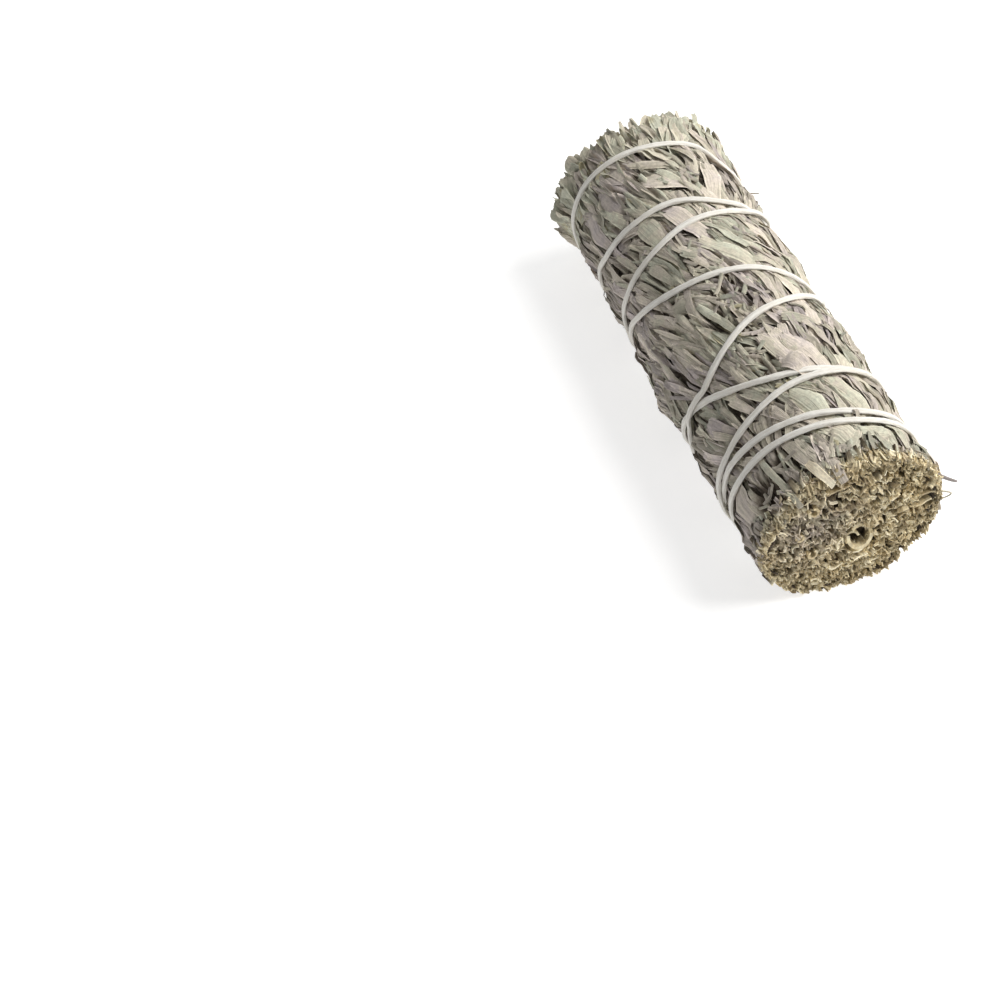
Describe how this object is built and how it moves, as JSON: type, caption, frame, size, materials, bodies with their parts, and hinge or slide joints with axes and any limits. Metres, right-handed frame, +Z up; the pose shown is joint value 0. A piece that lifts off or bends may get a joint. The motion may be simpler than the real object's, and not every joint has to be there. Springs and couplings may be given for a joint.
{
  "type": "sage smudge stick",
  "caption": "Round bundle of dried grey-green sagebrush sprigs, leaf tips at one end and chopped stems at the other, bound by a criss-cross winding of white cotton string.",
  "frame": {"origin": "centre of the box on the surface that the stick lies on, below the middle of its length", "axes": "+X along the stick from its leafy end to its cut end, +Z up, away from the surface that it lies on"},
  "size_m": [0.108, 0.0419, 0.0386],
  "materials": {
    "sage_leaf": "matte",
    "sage_heart": "matte",
    "dry_stem": "matte",
    "cotton_string": "matte"
  },
  "bodies": {
    "root": {"outer_sprig_1_leaves": "sage_leaf", "outer_sprig_1_stem": "dry_stem", "outer_sprig_2_leaves": "sage_leaf", "outer_sprig_2_stem": "dry_stem", "outer_sprig_3_leaves": "sage_leaf", "outer_sprig_3_stem": "dry_stem", "outer_sprig_4_leaves": "sage_leaf", "outer_sprig_4_stem": "dry_stem", "outer_sprig_5_leaves": "sage_leaf", "outer_sprig_5_stem": "dry_stem", "outer_sprig_6_leaves": "sage_leaf", "outer_sprig_6_stem": "dry_stem", "outer_sprig_7_leaves": "sage_leaf", "outer_sprig_7_stem": "dry_stem", "inner_sprig_1_leaves": "sage_heart", "inner_sprig_1_stem": "dry_stem", "inner_sprig_2_leaves": "sage_heart", "inner_sprig_2_stem": "dry_stem", "inner_sprig_3_leaves": "sage_heart", "inner_sprig_3_stem": "dry_stem", "binding_string": "cotton_string"}
  },
  "joints": []
}
